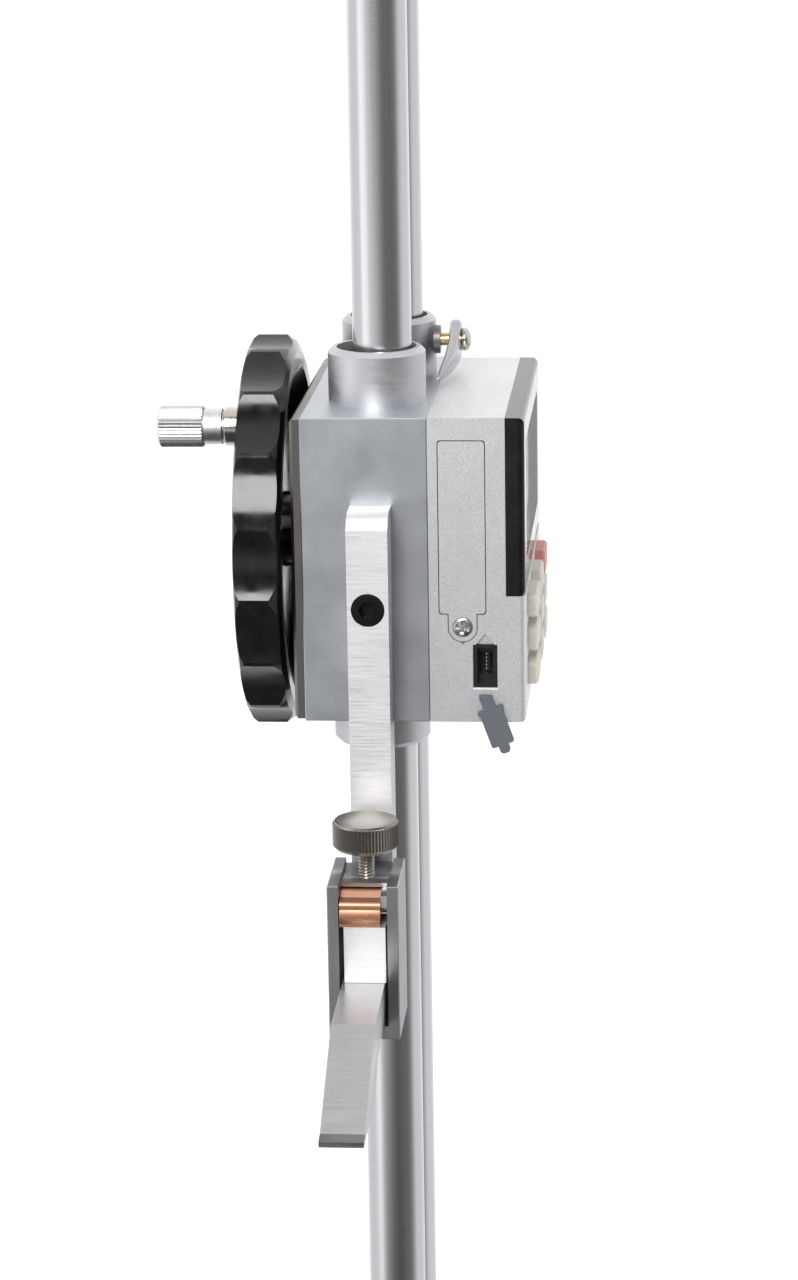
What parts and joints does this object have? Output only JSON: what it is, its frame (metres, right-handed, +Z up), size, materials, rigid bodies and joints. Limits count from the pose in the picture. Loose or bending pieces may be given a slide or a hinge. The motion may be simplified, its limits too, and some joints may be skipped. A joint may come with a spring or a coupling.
{
  "type": "height gauge",
  "caption": "Double-column electronic height gauge with a handwheel-driven slider, side display and keys, L-shaped measuring arm, clamped carbide scriber and cast base.",
  "frame": {"origin": "centre of the base's underside, on the surface plate", "axes": "+Z up along the columns; -X is the way the scriber points; -Y is the way the display faces; +Y is the handwheel's side"},
  "size_m": [0.2547, 0.14, 0.5438],
  "materials": {
    "base": "painted, ground underside",
    "column": "ground and hard-chromed",
    "bracket": "bead-blasted",
    "fastener": "blackened",
    "block": "bead-blasted and anodised",
    "bush": "turned bronze",
    "felt": "oiled felt",
    "collar": "turned",
    "brass_trim": "turned",
    "bright_screw": "zinc plated",
    "housing": "metallic silver paint",
    "bezel": "polished",
    "window": "clear acrylic",
    "lcd": "liquid-crystal display",
    "board": "circuit board",
    "key": "moulded",
    "power": "moulded",
    "cell": "sleeved cell",
    "black_plastic": "moulded",
    "rubber": "moulded",
    "wheel": "polished phenolic",
    "hub_cap": "plated",
    "steel": "turned steel",
    "disc": "etched disc",
    "crank": "turned and knurled",
    "ground_steel": "surface ground",
    "carbide": "ground carbide",
    "clamp": "black oxide",
    "thumbscrew": "dark nickel",
    "copper": "copper",
    "spring": "spring steel",
    "lever": "satin nickel"
  },
  "bodies": {
    "stand": {"base_casting": "base", "front_column": "column", "rear_column": "column", "rack_bar": "steel", "top_bracket": "bracket", "bracket_screws": "fastener", "base_bolts": "fastener"},
    "slider": {"slider_block": "block", "column_bushes": "bush", "column_wipers": "felt", "upper_front_collar": "collar", "upper_rear_collar": "collar", "lower_collars": "collar", "collar_grub_screw": "brass_trim", "wheel_side_plate": "block", "plate_screws": "bright_screw", "shaft_bushes": "bush", "display_housing": "housing", "display_bezel": "bezel", "display_window": "window", "lcd_panel": "lcd", "main_board": "board", "housing_screws": "fastener", "battery": "cell", "battery_contacts": "bright_screw", "port_socket": "black_plastic", "port_pins": "brass_trim", "measuring_arm": "ground_steel", "arm_screw": "fastener", "lock_nut": "brass_trim", "brake_shoe": "bush"},
    "drive": {"handwheel": "wheel", "hub_screw": "hub_cap", "drive_shaft": "steel", "drive_pinion": "steel", "encoder_disc": "disc", "crank_ferrule": "hub_cap", "crank_pin": "bright_screw"},
    "crank": {"crank_knob": "crank"},
    "lock": {"lock_stud": "brass_trim", "lock_lever": "lever", "lock_screw": "bright_screw"},
    "clamp": {"clamp_yoke": "clamp", "pad_leaf": "spring", "pressure_pad": "copper"},
    "thumbscrew": {"clamp_screw": "thumbscrew"},
    "scriber": {"scriber": "ground_steel", "carbide_tip": "carbide"},
    "battery_door": {"battery_cover": "housing", "battery_cover_screw": "bright_screw"},
    "flap": {"port_flap": "rubber"},
    "key_1_1_body": {"key_1_1": "key"},
    "key_1_2_body": {"key_1_2": "key"},
    "key_1_3_body": {"key_1_3": "key"},
    "key_2_1_body": {"key_2_1": "key"},
    "key_2_2_body": {"key_2_2": "key"},
    "key_2_3_body": {"key_2_3": "key"},
    "power_key_body": {"power_key": "power"},
    "key_3_2_body": {"key_3_2": "key"},
    "key_3_3_body": {"key_3_3": "key"}
  },
  "joints": [
    {"name": "slider_travel", "type": "slide", "parent": "stand", "child": "slider", "axis": [0, 0, 1], "range_m": [-0.205, 0.095]},
    {"name": "handwheel_turn", "type": "hinge", "parent": "slider", "child": "drive", "pos_m": [-0.014, 0.036, 0.34215], "axis": [0, 1, 0], "range_deg": [-784, 364]},
    {"name": "crank_spin", "type": "hinge", "parent": "drive", "child": "crank", "pos_m": [-0.04737, 0.058, 0.3815], "axis": [0, 1, 0], "continuous": true},
    {"name": "lock_turn", "type": "hinge", "parent": "slider", "child": "lock", "pos_m": [0.008, -0.0198, 0.3988], "axis": [0, 1, 0], "range_deg": [0, 95]},
    {"name": "clamp_slide", "type": "slide", "parent": "slider", "child": "clamp", "axis": [-1, 0, 0], "range_m": [0, 0.018]},
    {"name": "thumbscrew_turn", "type": "hinge", "parent": "clamp", "child": "thumbscrew", "pos_m": [-0.0977, 0.0024, 0.2702], "axis": [0, 0, 1], "range_deg": [0, 225]},
    {"name": "scriber_slide", "type": "slide", "parent": "clamp", "child": "scriber", "axis": [-1, 0, 0], "range_m": [-0.012, 0.012]},
    {"name": "battery_door_slide", "type": "slide", "parent": "slider", "child": "battery_door", "axis": [-1, 0, 0], "range_m": [0, 0.03]},
    {"name": "flap_swing", "type": "hinge", "parent": "slider", "child": "flap", "pos_m": [-0.07035, -0.0321, 0.3027], "axis": [0, 1, 0], "range_deg": [0, 80]},
    {"name": "key_1_1_press", "type": "slide", "parent": "slider", "child": "key_1_1_body", "axis": [0, 1, 0], "range_m": [0, 0.0004], "stiffness_N_per_m": 700},
    {"name": "key_1_2_press", "type": "slide", "parent": "slider", "child": "key_1_2_body", "axis": [0, 1, 0], "range_m": [0, 0.0004], "stiffness_N_per_m": 700},
    {"name": "key_1_3_press", "type": "slide", "parent": "slider", "child": "key_1_3_body", "axis": [0, 1, 0], "range_m": [0, 0.0004], "stiffness_N_per_m": 700},
    {"name": "key_2_1_press", "type": "slide", "parent": "slider", "child": "key_2_1_body", "axis": [0, 1, 0], "range_m": [0, 0.0004], "stiffness_N_per_m": 700},
    {"name": "key_2_2_press", "type": "slide", "parent": "slider", "child": "key_2_2_body", "axis": [0, 1, 0], "range_m": [0, 0.0004], "stiffness_N_per_m": 700},
    {"name": "key_2_3_press", "type": "slide", "parent": "slider", "child": "key_2_3_body", "axis": [0, 1, 0], "range_m": [0, 0.0004], "stiffness_N_per_m": 700},
    {"name": "power_key_press", "type": "slide", "parent": "slider", "child": "power_key_body", "axis": [0, 1, 0], "range_m": [0, 0.0004], "stiffness_N_per_m": 700},
    {"name": "key_3_2_press", "type": "slide", "parent": "slider", "child": "key_3_2_body", "axis": [0, 1, 0], "range_m": [0, 0.0004], "stiffness_N_per_m": 700},
    {"name": "key_3_3_press", "type": "slide", "parent": "slider", "child": "key_3_3_body", "axis": [0, 1, 0], "range_m": [0, 0.0004], "stiffness_N_per_m": 700}
  ],
  "couplings": [
    {"joint": "handwheel_turn", "follows": "slider_travel", "rad_per_m": 66.667}
  ]
}
